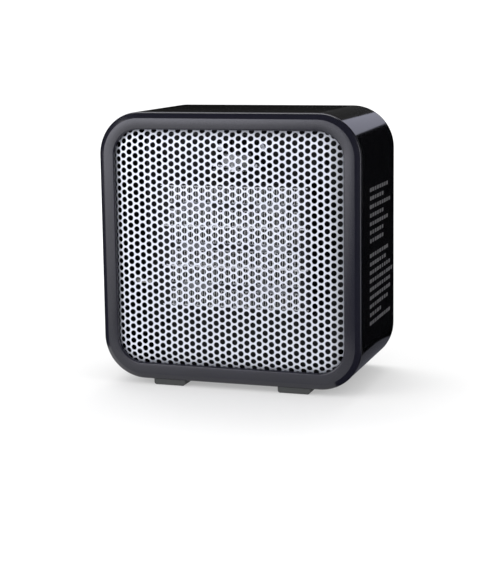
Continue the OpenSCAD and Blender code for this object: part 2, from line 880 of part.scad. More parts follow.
module fuse_clip() {
    color("#9fa3a8")
        translate([fuse_x, element_y0 + element_d / 2, axis_z - 3])
            difference() {
                union() {
                    cylinder(h = 6, d = fuse_d + 2);
                    translate([collar_w / 2 - fuse_x, fuse_d / 2, 0]) cube([fuse_x - collar_w / 2, 1, 6]);
                    translate([collar_w / 2 - fuse_x, -6, 0]) cube([1, 9.5, 6]);
                }
                translate([0, 0, -1]) cylinder(h = 8, d = fuse_d);
            }
}

// ---------------------------------------------------------------- fan

module fan() {
    middle = (fan_y0 + fan_y1) / 2;
    color("#2a2a2d")
        on_axis() difference() {
            union() {
                bar(0, 0, fan_y0, fan_y1, hub_d);
                intersection() {
                    union() {
                        for (b = [0 : blade_count - 1])
                            rotate([0, 360 / blade_count * b, 0])
                                fan_blade(middle);
                    }
                    bar(0, 0, fan_y0 - 1, fan_y1 + 1, fan_d);
                }
            }
            bar(0, 0, fan_y0 - 1, fan_y1 + 1, shaft_d);
        }
}

// A blade lies along X; its section is an arc in Y and Z, turned by the pitch
module fan_blade(middle) {
    curve_r = 46;
    root = hub_d / 2 - 1.5;
    tip = fan_d / 2 + 3;
    root_half = hub_d * 0.2;
    tip_half = fan_d * 0.144;
    intersection() {
        translate([root, middle, 0])
            rotate([blade_pitch, 0, 0])
                translate([0, curve_r - blade_t / 2, 0])
                    rotate([90, 0, 90])
                        linear_extrude(tip - root) difference() {
                            circle(curve_r);
                            circle(curve_r - blade_t);
                        }
        slab(fan_y0, fan_y1) polygon([[root, -root_half], [tip, -tip_half], [tip, tip_half], [root, root_half]]);
    }
}

module fan_clip() {
    color("#8b8f94")
        on_axis() difference() {
            bar(0, 0, fan_y0 - 0.8, fan_y0, 10);
            bar(0, 0, fan_y0 - 1, fan_y0 + 1, shaft_d);
            for (turn = [0, 120, 240])
                rotate([0, turn, 0]) translate([1.5, fan_y0 - 1, -0.4]) cube([2.5, 2, 0.8]);
        }
}

// ---------------------------------------------------------------- motor

module motor_shaft() {
    color("#d0d3d6")
        on_axis() bar(0, 0, fan_y0 - 1.6, bridge_y1 + 2, shaft_d);
}

module motor_rotor() {
    color("#a7abb0")
        on_axis() difference() {
            bar(0, 0, stack_y0 - rotor_over, stack_y1 + rotor_over, rotor_d);
            bar(0, 0, stack_y0 - 2, stack_y1 + 2, shaft_d);
        }
}

module thrust_washers() {
    color("#e8e4da")
        on_axis() for (y = [stack_y0 - rotor_over - washer_t, stack_y1 + rotor_over + end_play])
            difference() {
                bar(0, 0, y, y + washer_t - end_play, 9);
                bar(0, 0, y - 1, y + washer_t + 1, shaft_d + 2 * pass_gap);
            }
}

module motor_stator() {
    color("#6d7176")
        on_axis() slab(stack_y0, stack_y1) difference() {
            translate([-stack_w / 2, window_bottom - core_h])
                square([stack_w, stack_top - window_bottom + core_h]);
            circle(rotor_d / 2 + air_gap);
            translate([-stack_w / 2 + limb_w, window_bottom])
                square([stack_w - 2 * limb_w, window_top - window_bottom]);
            for (side = [-1, 1])
                translate([side * motor_screw_x, 0]) circle(motor_screw_d / 2 + pass_gap);
            for (turn = [30, 60, 210, 240])
                translate([shading_r * cos(turn), shading_r * sin(turn)]) circle(d = shading_d);
        }
}

// Copper loops through the poles
module shading_rings() {
    span = 2 * shading_r * sin(15);
    bridge_w = shading_d - 0.5;
    color("#b5714a")
        on_axis() for (half = [0, 180])
            rotate([0, half, 0]) {
                for (turn = [30, 60])
                    bar(shading_r * cos(turn), shading_r * sin(turn),
                        stack_y0 - 1.5, stack_y1 + 1.5, shading_d);
                for (y = [stack_y0 - 1.5, stack_y1])
                    translate([shading_r * cos(15) * cos(45), y, shading_r * cos(15) * sin(45)])
                        rotate([0, 45, 0])
                            translate([-span / 2, 0, -bridge_w / 2]) cube([span, 1.5, bridge_w]);
            }
}

// Tube round the core with a flange at each end
module coil_bobbin() {
    tube_y = stack_t + 2 * (bobbin_gap + bobbin_t);
    tube_z = core_h + 2 * (bobbin_gap + bobbin_t);
    half = stack_w / 2 - limb_w - 0.3;
    color("#ded8c8")
        translate([0, motor_y, axis_z + core_z]) rotate([90, 0, 90]) difference() {
            union() {
                linear_extrude(2 * half, center = true) square([tube_y, tube_z], center = true);
                for (side = [-1, 1])
                    translate([0, 0, side * (half - 0.75)]) linear_extrude(1.5, center = true)
                        square([tube_y + 2 * coil_ty + 1, tube_z + 2 * coil_tz + 1], center = true);
            }
            linear_extrude(2 * half + 2, center = true)
                square([stack_t + 2 * bobbin_gap, core_h + 2 * bobbin_gap], center = true);
        }
}

module motor_coil() {
    tube_y = stack_t + 2 * (bobbin_gap + bobbin_t);
    tube_z = core_h + 2 * (bobbin_gap + bobbin_t);
    length = stack_w - 2 * limb_w - 0.6 - 3;
    color("#a4582f")
        translate([0, motor_y, axis_z + core_z]) rotate([90, 0, 90])
            linear_extrude(length, center = true) difference() {
                rounded(tube_y + 2 * coil_ty, tube_z + 2 * coil_tz, 3);
                square([tube_y, tube_z], center = true);
            }
}

// Strap across the stack with a bearing seat; its legs stand on the stack
module motor_bridge(leg_y0, leg_y1, strap_y, boss_y) {
    half = motor_screw_x + bridge_leg_w / 2;
    difference() {
        union() {
            translate([-half, strap_y, -strap_w / 2]) cube([2 * half, strap_t, strap_w]);
            for (side = [-1, 1])
                translate([side * motor_screw_x - bridge_leg_w / 2, leg_y0, -strap_w / 2])
                    cube([bridge_leg_w, leg_y1 - leg_y0, strap_w]);
            bar(0, 0, boss_y, boss_y + bearing_l, bearing_d + 4);
        }
        bar(0, 0, boss_y - 3, boss_y + bearing_l + 3, bearing_d);
        for (side = [-1, 1])
            bar(side * motor_screw_x, 0, leg_y0 - 1, leg_y1 + 1, motor_screw_d + 2 * pass_gap);
    }
}

function front_bearing_y() = stack_y0 - rotor_over - washer_t - bearing_l;
function rear_bearing_y() = stack_y1 + rotor_over + washer_t;

module motor_front_bridge() {
    color("#b4b8bc")
        on_axis() motor_bridge(bridge_y0, stack_y0, bridge_y0, front_bearing_y());
}

module motor_rear_bridge() {
    color("#b4b8bc")
        on_axis() motor_bridge(stack_y1, bridge_y1, bridge_y1 - strap_t, rear_bearing_y());
}

module motor_bearings() {
    color("#b08d57")
        on_axis() for (y = [front_bearing_y(), rear_bearing_y()])
            difference() {
                bar(0, 0, y, y + bearing_l, bearing_d);
                bar(0, 0, y - 1, y + bearing_l + 1, shaft_d + 2 * bearing_gap);
            }
}

module motor_screws() {
    color("#c6c9cc")
        for (side = [-1, 1])
            translate([side * motor_screw_x, bridge_y0, axis_z])
                screw(motor_screw_d, bridge_y1 - bridge_y0 + screw_depth - 0.5, motor_head_d);
}

// ---------------------------------------------------------------- fasteners of the casing and the duct

module duct_screws() {
    color("#c6c9cc")
        at_four(duct_screw_x, duct_screw_x)
            translate([0, element_y1, 0]) screw(duct_screw_d, duct_screw_l, duct_head_d);
}

// Driven in from the back, so the shank runs forwards
module housing_screws() {
    color("#9a9da1")
        at_four(housing_x, housing_z)
            translate([0, housing_seat_y, 0])
                rotate([0, 0, 180]) screw(housing_screw_d, housing_screw_l, housing_head_d);
}

// ---------------------------------------------------------------- power switch

module switch_case() {
    color("#151517")
        translate([0, 0, axis_z + switch_z]) difference() {
            union() {
                slab(well_y, well_y + flange_t) rounded(switch_w, switch_h, 1.2);
                slab(well_y - sleeve_l, well_y + 0.5) square([sleeve_w, sleeve_h], center = true);
            }
            slab(pivot_y - rocker_room, well_y + flange_t + 1)
                square([2 * rocker_half_w + 1.6, 2 * rocker_half_h + 0.4], center = true);
            translate([0, pivot_y, -sleeve_h / 2 - 1])
                cylinder(h = sleeve_h + 2, d = rocker_pin_d + 2 * pin_gap);
        }
}

// The rocker rests tipped to its off side
module switch_rocker() {
    w = rocker_half_w;
    color("#1d1d20")
        translate([0, pivot_y, axis_z + switch_z]) rotate([0, 0, rocker_tilt]) {
            translate([0, 0, -rocker_half_h]) linear_extrude(2 * rocker_half_h) difference() {
                polygon([[-w, -1], [0, -2.6], [w, -1], [w, 3.8], [-w, 3.8]]);
                translate([0, 23.4 + 2.4]) circle(23.4, $fn = 120);
            }
            translate([0, 0, -sleeve_h / 2 + 0.4]) cylinder(h = sleeve_h - 0.8, d = rocker_pin_d);
        }
}

module switch_terminals() {
    color("#c9b37a")
        translate([0, 0, axis_z + switch_z]) for (x = [-switch_pin_x, switch_pin_x])
            difference() {
                translate([x - terminal_t / 2, switch_pin_y, -2.4]) cube([terminal_t, switch_tab_l, 4.8]);
                translate([x - 1, switch_pin_y + 2.5, 0]) rotate([0, 90, 0]) cylinder(h = 2, d = tab_hole_d);
            }
}

// ---------------------------------------------------------------- tip-over switch

module tip_switch_case() {
    color("#8c2f2b")
        translate([0, tip_y, 0]) difference() {
            union() {
                translate([-tip_w / 2, -tip_l / 2, floor_z]) cube([tip_w, tip_l, tip_case_h]);
                translate([-tip_ear_x - 4, -4, floor_z]) cube([2 * tip_ear_x + 8, 8, 2.5]);
            }
            translate([0, 0, floor_z - 1])
                cylinder(h = tip_base_t + 2, d = plunger_d + 2 * plunger_gap);
            translate([0, 0, floor_z + tip_base_t])
                cylinder(h = roof_z - floor_z - tip_base_t, d = tip_cavity_d);
            translate([0, 0, roof_z - 1]) cylinder(h = tip_roof_t + 2, d = tip_stem_d + 2 * plunger_gap);
            for (side = [-1, 1])
                translate([side * tip_ear_x, 0, floor_z - 1])
                    cylinder(h = 5, d = tip_screw_d + 2 * pass_gap);
        }
}

module tip_switch_terminals() {
    color("#c9b37a")
        for (side = [-1, 1])
            translate([side > 0 ? tip_w / 2 : -tip_w / 2 - tip_tab_l, tip_y - 2.4, tip_tab_z - tip_tab_t / 2])
                cube([tip_tab_l, 4.8, tip_tab_t]);
}

module tip_plunger() {
    color("#e4e4e0")
        translate([0, tip_y, 0]) union() {
            cylinder(h = collar_z + 0.5, d = plunger_d);
            translate([0, 0, collar_z]) cylinder(h = tip_collar_t, d = tip_collar_d);
            translate([0, 0, collar_z])
                cylinder(h = roof_z + plunger_travel + 1 - collar_z, d = tip_stem_d);
        }
}

// Points of one ring of the spring's wire, round its helix
function wire_ring(turn, mid_r, wire_r, z, sides) = [
    for (s = [0 : sides - 1])
        let (a = 360 * s / sides, r = mid_r + wire_r * cos(a))
            [r * cos(turn), r * sin(turn), z + wire_r * sin(a)]
];

// Closed helical wire between the plunger's collar and the roof of the case
module tip_spring() {
    turns = 4;
    steps = 14;
    sides = 8;
    wire_r = 0.35;
    mid_r = 3.1;
    z0 = collar_z + tip_collar_t + wire_r + 0.05;
    z1 = roof_z - wire_r - 0.05;
    rings = turns * steps;
    points = [
        for (i = [0 : rings]) each wire_ring(360 * i / steps, mid_r, wire_r, z0 + (z1 - z0) * i / rings, sides)
    ];
    side_faces = [
        for (i = [0 : rings - 1])
            for (s = [0 : sides - 1])
                let (t = (s + 1) % sides)
                    [i * sides + s, i * sides + t, (i + 1) * sides + t, (i + 1) * sides + s]
    ];
    first_cap = [for (s = [sides - 1 : -1 : 0]) s];
    last_cap = [for (s = [0 : sides - 1]) rings * sides + s];
    color("#b9bdc1")
        translate([0, tip_y, 0]) polyhedron(points, concat(side_faces, [first_cap, last_cap]));
}

module tip_switch_screws() {
    color("#c6c9cc")
        for (side = [-1, 1])
            translate([side * tip_ear_x, tip_y, floor_z + 2.5])
                rotate([-90, 0, 0]) screw(tip_screw_d, 4, 4.6);
}

// ---------------------------------------------------------------- cord gland and wiring

module cord_gland() {
    color("#1c1c1e")
        translate([gland_x, 0, axis_z - gland_drop]) difference() {
            union() {
                bar(0, 0, back_y - gland_seat, back_y - gland_sink, gland_flange_d);
                bar(0, 0, wall_y - gland_tail, back_y - 1, gland_bore + 2 * gland_wall);
                bar(0, 0, wall_y - gland_pad_t - gland_flange_t, wall_y - gland_pad_t, gland_flange_d);
            }
            bar(0, 0, wall_y - gland_tail - 1, back_y + 1, gland_bore);
        }
}

// An insulated lead through a list of corners, with each run along one axis
module lead(corners) {
    for (i = [0 : len(corners) - 2]) {
        a = corners[i];
        b = corners[i + 1];
        run = b - a;
        turn = run[0] != 0 ? [0, 90, 0] : run[1] != 0 ? [-90, 0, 0] : [0, 0, 0];
        low = [min(a[0], b[0]), min(a[1], b[1]), min(a[2], b[2])];
        translate(low) rotate(turn) cylinder(h = norm(run), d = lead_d);
        if (i > 0) translate(a) sphere(d = lead_d);
    }
}

module live_leads() {
    gland_z = axis_z - gland_drop;
    color("#2b2b2e") {
        // from the cord's inlet up the right side to the power switch
        lead([
            [gland_x + lead_pair, inlet_y, gland_z], [gland_x + lead_pair, lead_y, gland_z],
            [gland_x + lead_pair, lead_y, lead_low_z], [lead_side_x, lead_y, lead_low_z],
            [lead_side_x, lead_y, lead_high_z],
            [switch_pin_x, lead_y, lead_high_z], [switch_pin_x, lead_y, axis_z + switch_z],
            [switch_pin_x, switch_pin_y, axis_z + switch_z]
        ]);
        // from the power switch down the left side to the tip-over switch
        lead([
            [-switch_pin_x, switch_pin_y, axis_z + switch_z], [-switch_pin_x, lead_y, axis_z + switch_z],
            [-switch_pin_x, lead_y, lead_high_z], [-lead_side_x, lead_y, lead_high_z],
            [-lead_side_x, lead_y, lead_low_z], [-tip_lead_x, lead_y, lead_low_z],
            [-tip_lead_x, lead_y, tip_tab_z], [-tip_lead_x, tip_y, tip_tab_z],
            [-tip_w / 2 - tip_tab_l, tip_y, tip_tab_z]
        ]);
        // to the motor's coil
        lead([
            [-lead_side_x, lead_y, axis_z + coil_lead_z],
            [-stack_w / 2 + limb_w + 0.3, lead_y, axis_z + coil_lead_z]
        ]);
        // from the tip-over switch to the fuse
        lead([
            [tip_w / 2 + tip_tab_l, tip_y, tip_tab_z], [fuse_lead_x, tip_y, tip_tab_z],
            [fuse_lead_x, tip_y, lead_low_z],
            [lead_hole_x, tip_y, lead_low_z], [lead_hole_x, tip_y, axis_z - module_h],
            [lead_hole_x, element_mid_y, axis_z - module_h], [fuse_x, element_mid_y, axis_z - module_h],
            [fuse_x, element_mid_y, axis_z - fuse_reach]
        ]);
        // from the fuse to the thermostat
        lead([
            [fuse_x, element_mid_y, axis_z + fuse_reach], [fuse_x, element_mid_y, therm_top_z + lead_rise],
            [therm_tab_x, element_mid_y, therm_top_z + lead_rise], [therm_tab_x, element_mid_y, therm_top_z]
        ]);
        // from the thermostat to the element's upper terminals
        lead([
            [-therm_tab_x, element_mid_y, therm_top_z], [-therm_tab_x, element_mid_y, therm_top_z + lead_rise],
            [terminal_drop_x, element_mid_y, therm_top_z + lead_rise],
            [terminal_drop_x, element_mid_y, axis_z + module_z(1)],
            [terminal_x, element_mid_y, axis_z + module_z(1)]
        ]);
        lead([
            [terminal_drop_x, element_mid_y, axis_z + module_z(2)],
            [terminal_x, element_mid_y, axis_z + module_z(2)]
        ]);
    }
}

module neutral_leads() {
    gland_z = axis_z - gland_drop;
    color("#dcdcd8") {
        // from the cord's inlet under the fan to the element's lower terminal
        lead([
            [gland_x - lead_pair, inlet_y, gland_z], [gland_x - lead_pair, neutral_y, gland_z],
            [-neutral_turn_x, neutral_y, gland_z], [-neutral_turn_x, neutral_y, lead_low_z],
            [-lead_hole_x, neutral_y, lead_low_z], [-lead_hole_x, neutral_y, axis_z + module_z(0)],
            [-lead_hole_x, element_mid_y, axis_z + module_z(0)],
            [terminal_x, element_mid_y, axis_z + module_z(0)]
        ]);
        // to the motor's coil
        lead([
            [gland_x - lead_pair, lead_y, gland_z], [gland_x - lead_pair, lead_y, axis_z + coil_lead_z],
            [stack_w / 2 - limb_w - 0.3, lead_y, axis_z + coil_lead_z]
        ]);
    }
}

rear_shell();
front_bezel();
front_grille();
front_feet();
rear_feet();
rating_label();
air_duct();
element_fins();
element_plates();
electrode_sheets();
ceramic_stones();
stone_carriers();
element_end_caps();
element_terminals();
thermostat_body();
thermostat_cap();
thermostat_bracket();
thermostat_rivets();
thermostat_tabs();
thermal_fuse();
fuse_clip();
fan();
fan_clip();
motor_shaft();
motor_rotor();
thrust_washers();
motor_stator();
shading_rings();
coil_bobbin();
motor_coil();
motor_front_bridge();
motor_rear_bridge();
motor_bearings();
motor_screws();
duct_screws();
housing_screws();
switch_case();
switch_rocker();
switch_terminals();
tip_switch_case();
tip_switch_terminals();
tip_plunger();
tip_spring();
tip_switch_screws();
cord_gland();
live_leads();
neutral_leads();
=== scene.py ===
"""A compact ceramic space heater on a white table: bezel, perforated grille, shell and inner parts."""
import functools
import math

import bmesh
import bpy
from mathutils import Matrix, Vector


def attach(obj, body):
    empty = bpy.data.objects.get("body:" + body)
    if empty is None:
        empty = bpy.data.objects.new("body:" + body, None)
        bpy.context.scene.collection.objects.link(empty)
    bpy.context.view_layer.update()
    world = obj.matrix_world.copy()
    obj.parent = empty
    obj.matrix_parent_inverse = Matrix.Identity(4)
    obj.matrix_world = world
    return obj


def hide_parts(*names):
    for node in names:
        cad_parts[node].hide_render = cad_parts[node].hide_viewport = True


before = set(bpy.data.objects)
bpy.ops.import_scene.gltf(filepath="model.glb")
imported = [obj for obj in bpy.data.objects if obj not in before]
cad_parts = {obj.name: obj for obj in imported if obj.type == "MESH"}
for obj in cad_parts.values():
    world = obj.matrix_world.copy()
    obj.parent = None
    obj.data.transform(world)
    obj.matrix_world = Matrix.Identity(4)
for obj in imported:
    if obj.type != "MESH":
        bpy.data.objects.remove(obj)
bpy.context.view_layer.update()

MM = 0.001
scene = bpy.context.scene

# ---------------------------------------------------------------- camera

EYE = Vector((255.0, -766.5, 194.9)) * MM
EYE_TURN = math.radians(18.46)
EYE_DIP = math.radians(-8.67)
EYE_ROLL = math.radians(-0.74)

ahead = Vector((-math.sin(EYE_TURN) * math.cos(EYE_DIP), math.cos(EYE_TURN) * math.cos(EYE_DIP),
                math.sin(EYE_DIP)))
level = Vector((math.cos(EYE_TURN), math.sin(EYE_TURN), 0.0))
upright = level.cross(ahead)
across = level * math.cos(EYE_ROLL) + upright * math.sin(EYE_ROLL)
over = upright * math.cos(EYE_ROLL) - level * math.sin(EYE_ROLL)

camera = bpy.data.objects.new("camera", bpy.data.cameras.new("camera"))
scene.collection.objects.link(camera)
camera.matrix_world = Matrix.Translation(EYE) @ Matrix((across, over, -ahead)).transposed().to_4x4()
camera.data.lens = 91.76
camera.data.sensor_width = 36
camera.data.shift_y = -0.0648
camera.data.clip_start = 0.01
camera.data.clip_end = 50
scene.camera = camera
scene.view_settings.view_transform = "Standard"

# ---------------------------------------------------------------- sizes that the pieces follow, in mm

BODY_W = 147.0
FRONT_Y = -41.5
AXIS_Z = 76.7
CORNER_X = 50.0       # middle of the body to the centres of its round corners
LIP_R = 14.2          # those centres to the opening's edge
FACE_R = 20.3         # to the outer edge of the bezel's flat face
EDGE_R = 23.3         # to the bezel's outside
SLOPE_D = 1.9         # how far the bezel's slope runs back
LIP_T = 2.8           # thickness of the bezel's lip
LIP_RELIEF = 0.7      # chamfer behind the lip's edge
SPIGOT_R = 20.8       # corner centres to the outside of the wall that enters the shell
SPIGOT_T = 2.0
SPIGOT_END = 15.0     # end of that wall, behind the bezel's face
SHEET_Y = -41.1       # front of the grille's sheet
SHEET_T = 0.8
FLAT_R = 6.2          # corner centres to the start of the grille's bend
BEND_R = 15.0
BEND_ARC = 13.27      # length of sheet that is rolled back; it ends out of sight behind the bezel's lip
RIM_R = 18.6          # corner centres to the edge of the grille's rim
RIM_DEPTH = 3.79      # grille's rim behind the bezel's face
RIM_FRONT_R = 17.1    # corner centres to the rim's inner edge, in front
RIM_BACK_R = 16.5     # and behind
KEPT_R = 17.4         # corner centres to the outermost holes' middles, in the sheet before it is bent
HOLE_COLUMNS = 43
HOLE_ROWS = 39
HOLE_D = 3.0
HOLE_PITCH = 4.0
PRINT_PITCH = 4.58    # from one printed row to the next
PRINT_HEIGHT = 2.1
PRINT_SLOT = 5.4      # a bar and its gap
PRINT_SLOTS = 11
PRINT_Y = -19.6       # front end of the rows

# ---------------------------------------------------------------- small tools


def colour(code):
    """A linear colour from an sRGB hex value."""
    parts = [int(code[i:i + 2], 16) / 255 for i in (1, 3, 5)]
    return [c / 12.92 if c <= 0.04045 else ((c + 0.055) / 1.055) ** 2.4 for c in parts] + [1.0]


def add(tree, kind, settings, links=()):
    """Adds one node: settings holds its properties and input values, links what feeds its inputs."""
    node = tree.nodes.new(kind)
    for name, value in settings.items():
        if isinstance(name, str) and hasattr(node, name):
            setattr(node, name, value)
    for name, value in settings.items():
        if not (isinstance(name, str) and hasattr(node, name)):
            node.inputs[name].default_value = value
    for name, source in dict(links).items():
        tree.links.new(source, node.inputs[name])
    return node


def position(tree):
    """The X, Y and Z sockets of the place of each point."""
    place = add(tree, "GeometryNodeInputPosition", {}).outputs[0]
    return add(tree, "ShaderNodeSeparateXYZ", {}, {0: place}).outputs


def arithmetic(tree, operation, a, b=0.0):
    """One step on two numbers, each a socket or a value."""
    sockets = {i: v for i, v in enumerate((a, b)) if not isinstance(v, (int, float))}
    values = {i: v for i, v in enumerate((a, b)) if isinstance(v, (int, float))}
    return add(tree, "ShaderNodeMath", {"operation": operation, **values}, sockets).outputs[0]


def started_tree(name, geometry, floats, integers, vector):
    """A Geometry Nodes tree with its named inputs, a finish among them, and one geometry out."""
    tree = bpy.data.node_groups.new(name, "GeometryNodeTree")
    kinds = [(geometry, "Geometry"), *((n, "Float") for n in floats), *((n, "Int") for n in integers),
             (vector, "Vector"), ("Finish", "Material")]
    for label, kind in kinds:
        tree.interface.new_socket(label, in_out="INPUT", socket_type="NodeSocket" + kind)
    tree.interface.new_socket("Geometry", in_out="OUTPUT", socket_type="NodeSocketGeometry")
    return tree, tree.nodes.new("NodeGroupInput").outputs


def end_tree(tree, geometry, finish):
    """Makes a tree's result real, gives it its finish and sends it out."""
    whole = add(tree, "GeometryNodeRealizeInstances", {}, {"Geometry": geometry}).outputs[0]
    painted = add(tree, "GeometryNodeSetMaterial", {}, {"Geometry": whole, "Material": finish}).outputs[0]
    add(tree, "NodeGroupOutput", {}, {"Geometry": painted})


def finished_mesh(name, form):
    """Turns a bmesh into a mesh and frees it."""
    mesh = bpy.data.meshes.new(name)
    form.to_mesh(mesh)
    form.free()
    return mesh


def piece(name, mesh, finish):
    """Puts a mesh in the scene as a piece of the casing."""
    obj = bpy.data.objects.new(name, mesh)
    scene.collection.objects.link(obj)
    mesh.materials.clear()
    mesh.materials.append(finish)
    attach(obj, "casing")
    return obj


# ---------------------------------------------------------------- finishes


def moulded(name, base, worn, roughness, grain, relief, shader):
    """Moulded plastic: a slow drift between two tones, and a fine skin that breaks up the gloss.
    grain and relief are the skin's spacing and height in mm."""
    made = bpy.data.materials.new(name)
    made.use_nodes = True
    tree = made.node_tree
    surface = tree.nodes["Principled BSDF"]
    place = add(tree, "ShaderNodeTexCoord", {}).outputs["Object"]
    drift = add(tree, "ShaderNodeTexNoise", {"Scale": 1 / (14 * MM), "Detail": 2.0}, {"Vector": place})
    skin = add(tree, "ShaderNodeTexNoise", {"Scale": 1 / (grain * MM), "Detail": 3.0}, {"Vector": place})
    tone = add(tree, "ShaderNodeMix", {"data_type": "RGBA", 6: colour(base), 7: colour(worn)},
               {0: drift.outputs["Fac"]})
    gloss = add(tree, "ShaderNodeMapRange", {"To Min": roughness * 0.88, "To Max": roughness * 1.12},
                {"Value": skin.outputs["Fac"]})
    bump = add(tree, "ShaderNodeBump", {"Strength": 0.5, "Distance": relief * MM},
               {"Height": skin.outputs["Fac"]})
    tree.links.new(tone.outputs[2], surface.inputs["Base Color"])
    tree.links.new(gloss.outputs["Result"], surface.inputs["Roughness"])
    tree.links.new(bump.outputs["Normal"], surface.inputs["Normal"])
    for socket, value in shader.items():
        surface.inputs[socket].default_value = value
    return made


def drawn_metal(name, base, shade, roughness, streak, spacing, relief=0.01, metallic=1.0):
    """Rolled, drawn or turned metal: fine lines along one way, which spread its highlights.
    streak stretches the lines along X, Y and Z, spacing is their distance in mm, and a haze or a lacquer
    with flakes in it is less than fully metallic."""
    made = bpy.data.materials.new(name)
    made.use_nodes = True
    tree = made.node_tree
    surface = tree.nodes["Principled BSDF"]
    surface.inputs["Metallic"].default_value = metallic
    place = add(tree, "ShaderNodeTexCoord", {}).outputs["Object"]
    way = add(tree, "ShaderNodeMapping", {"Scale": streak}, {"Vector": place})
    lines = add(tree, "ShaderNodeTexNoise", {"Scale": 1 / (spacing * MM), "Detail": 4.0},
                {"Vector": way.outputs["Vector"]})
    cloud = add(tree, "ShaderNodeTexNoise", {"Scale": 1 / (9 * MM), "Detail": 3.0}, {"Vector": place})
    tone = add(tree, "ShaderNodeMix", {"data_type": "RGBA", 6: colour(base), 7: colour(shade)},
               {0: cloud.outputs["Fac"]})
    gloss = add(tree, "ShaderNodeMapRange", {"To Min": roughness * 0.8, "To Max": roughness * 1.2},
                {"Value": lines.outputs["Fac"]})
    bump = add(tree, "ShaderNodeBump", {"Strength": 0.35, "Distance": relief * MM},
               {"Height": lines.outputs["Fac"]})
    tree.links.new(tone.outputs[2], surface.inputs["Base Color"])
    tree.links.new(gloss.outputs["Result"], surface.inputs["Roughness"])
    tree.links.new(bump.outputs["Normal"], surface.inputs["Normal"])
    return made


def painted_shade_by_depth(made, painted_shade, depth, start, end):
    """Paints shade into a finish, to a dark tone as a depth, a socket of its tree, goes from start to end."""
    tree = made.node_tree
    surface = tree.nodes["Principled BSDF"]
    clean = surface.inputs["Base Color"].links[0].from_socket
    share = add(tree, "ShaderNodeMapRange", {"From Min": start, "From Max": end}, {"Value": depth})
    tone = add(tree, "ShaderNodeMix", {"data_type": "RGBA", 7: colour(painted_shade)},
               {0: share.outputs["Result"], 6: clean})
    tree.links.new(tone.outputs[2], surface.inputs["Base Color"])
    return made


def punched_sheet():
    """Silver lacquer on punched sheet: fine metallic grain in front, and painted shade, near black, on each
    hole's wall and the sheet's back.
    The depth attribute runs from 0 at the sheet's front to 1 at its back."""
    made = drawn_metal("silver-lacquered steel", "#d3d6de", "#c6cad4", 0.45, (1, 1, 1), 0.25, metallic=0.45)
    depth = add(made.node_tree, "ShaderNodeAttribute", {"attribute_name": "depth"}).outputs["Fac"]
    # painted shade: near black from just behind each hole's front edge down its wall, and over the sheet's
    # back
    return painted_shade_by_depth(made, "#16171b", depth, 0.0, 0.12)


def folded_foil(front):
    """Folded aluminium foil: bright edges in front, and painted shade on the walls down in the folds.
    front is where the edges are, in metres."""
    made = drawn_metal("rolled aluminium foil", "#f6f7f9", "#eceef1", 0.4, (1, 20, 1), 0.2, metallic=0.4)
    tree = made.node_tree
    place = add(tree, "ShaderNodeTexCoord", {}).outputs["Object"]
    along = add(tree, "ShaderNodeSeparateXYZ", {}, {0: place}).outputs["Y"]
    # painted shade: the foil darkens from 0.3 mm to 2.5 mm behind its front edges, down into the folds
    return painted_shade_by_depth(made, "#1b1c1f", along, front + 0.3 * MM, front + 2.5 * MM)


def banded(name, groove, ridge, roughness, metallic, direction, spacing, relief):
    """A stack of sheets or a layer of wire: regular bands with a dark groove between them.
    direction is the wave's bands direction, spacing the distance from one band to the next in mm."""
    made = bpy.data.materials.new(name)
    made.use_nodes = True
    tree = made.node_tree
    surface = tree.nodes["Principled BSDF"]
    surface.inputs["Metallic"].default_value = metallic
    surface.inputs["Roughness"].default_value = roughness
    place = add(tree, "ShaderNodeTexCoord", {}).outputs["Object"]
    bands = add(tree, "ShaderNodeTexWave", {"bands_direction": direction, "Distortion": 0.4, "Detail": 1.0,
                                            "Scale": math.pi / (10 * spacing * MM)}, {"Vector": place})
    tone = add(tree, "ShaderNodeMix", {"data_type": "RGBA", 6: colour(groove), 7: colour(ridge)},
               {0: bands.outputs["Fac"]})
    bump = add(tree, "ShaderNodeBump", {"Strength": 0.6, "Distance": relief * MM},
               {"Height": bands.outputs["Fac"]})
    tree.links.new(tone.outputs[2], surface.inputs["Base Color"])
    tree.links.new(bump.outputs["Normal"], surface.inputs["Normal"])
    return made


def fired_ceramic(name, body, speck, roughness, grit):
    """Pressed and fired powder: a matt body with small dark specks, grit being their distance in mm."""
    made = bpy.data.materials.new(name)
    made.use_nodes = True
    tree = made.node_tree
    surface = tree.nodes["Principled BSDF"]
    surface.inputs["Roughness"].default_value = roughness
    place = add(tree, "ShaderNodeTexCoord", {}).outputs["Object"]
    specks = add(tree, "ShaderNodeTexVoronoi", {"Scale": 1 / (grit * MM)}, {"Vector": place})
    tone = add(tree, "ShaderNodeMix", {"data_type": "RGBA", 6: colour(speck), 7: colour(body)},
               {0: specks.outputs["Distance"]})
    bump = add(tree, "ShaderNodeBump", {"Strength": 0.4, "Distance": 0.04 * MM},
               {"Height": specks.outputs["Distance"]})
    tree.links.new(tone.outputs[2], surface.inputs["Base Color"])
    tree.links.new(bump.outputs["Normal"], surface.inputs["Normal"])
    return made


